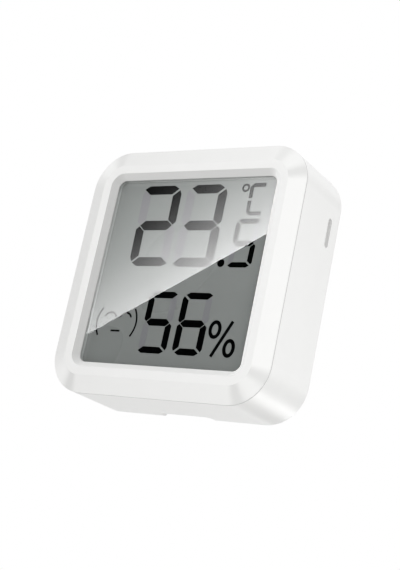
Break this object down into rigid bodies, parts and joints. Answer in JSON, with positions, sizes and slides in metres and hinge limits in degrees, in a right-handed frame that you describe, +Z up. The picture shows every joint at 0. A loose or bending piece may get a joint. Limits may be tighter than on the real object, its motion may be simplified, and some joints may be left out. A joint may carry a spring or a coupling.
{
  "type": "temperature humidity sensor",
  "caption": "Pocket room temperature and humidity sensor: a chamfered white case round a reflective segment display, with a vent slot, a back button and a battery door",
  "frame": {"origin": "middle of the base that it stands on", "axes": "+X to the right across the face, +Y from the face to the back, +Z up"},
  "size_m": [0.06, 0.02, 0.0613],
  "materials": {
    "white_shell": "fine moulded texture, white ABS",
    "clear_window": "polished clear acrylic",
    "adhesive_tape": "matt foam tape",
    "polariser_film": "anti-glare film",
    "display_glass": "clear soda-lime glass",
    "reflector_film": "satin reflector film",
    "strip_rubber": "silicone rubber with carbon stripes",
    "frame_plastic": "moulded ABS",
    "board_laminate": "green solder mask on glass-fibre laminate",
    "module_laminate": "dark solder mask on laminate",
    "screw_steel": "zinc-plated steel",
    "shield_steel": "tinned steel sheet",
    "chip_epoxy": "moulded epoxy",
    "capacitor_can": "drawn aluminium",
    "capacitor_ceramic": "fired ceramic",
    "switch_case": "moulded nylon",
    "contact_nickel": "nickel-plated spring steel",
    "cell_jacket": "plain printed film on a steel can"
  },
  "bodies": {
    "root": {"front_bezel": "white_shell", "rear_housing": "white_shell", "display_window": "clear_window", "window_tape": "adhesive_tape", "lcd_front_polariser": "polariser_film", "lcd_front_glass": "display_glass", "lcd_rear_glass": "display_glass", "lcd_reflector": "reflector_film", "connector_strip_lower": "strip_rubber", "connector_strip_upper": "strip_rubber", "display_frame": "frame_plastic", "main_board": "board_laminate", "sensor_board": "board_laminate", "radio_module": "module_laminate", "board_screws": "screw_steel", "radio_shield": "shield_steel", "clock_crystal": "shield_steel", "controller_chip": "chip_epoxy", "chip_resistors": "chip_epoxy", "sensor_chip": "chip_epoxy", "reservoir_capacitor": "capacitor_can", "chip_capacitors": "capacitor_ceramic", "switch_body": "switch_case", "contact_bridge": "contact_nickel", "contact_positive": "contact_nickel", "contact_negative": "contact_nickel", "spring_lower": "contact_nickel", "spring_upper": "contact_nickel", "cell_lower": "cell_jacket", "cell_upper": "cell_jacket"},
    "battery_door": {"battery_door": "white_shell"},
    "pair_button": {"pair_button": "white_shell", "switch_plunger": "switch_case"}
  },
  "joints": [
    {"name": "door_hinge", "type": "hinge", "parent": "root", "child": "battery_door", "pos_m": [0, 0.01, 0.0259], "axis": [1, 0, 0], "range_deg": [0, 60]},
    {"name": "button_press", "type": "slide", "parent": "root", "child": "pair_button", "axis": [0, -1, 0], "range_m": [0, 0.0003], "stiffness_N_per_m": 1000, "springref_m": -0.0005}
  ]
}
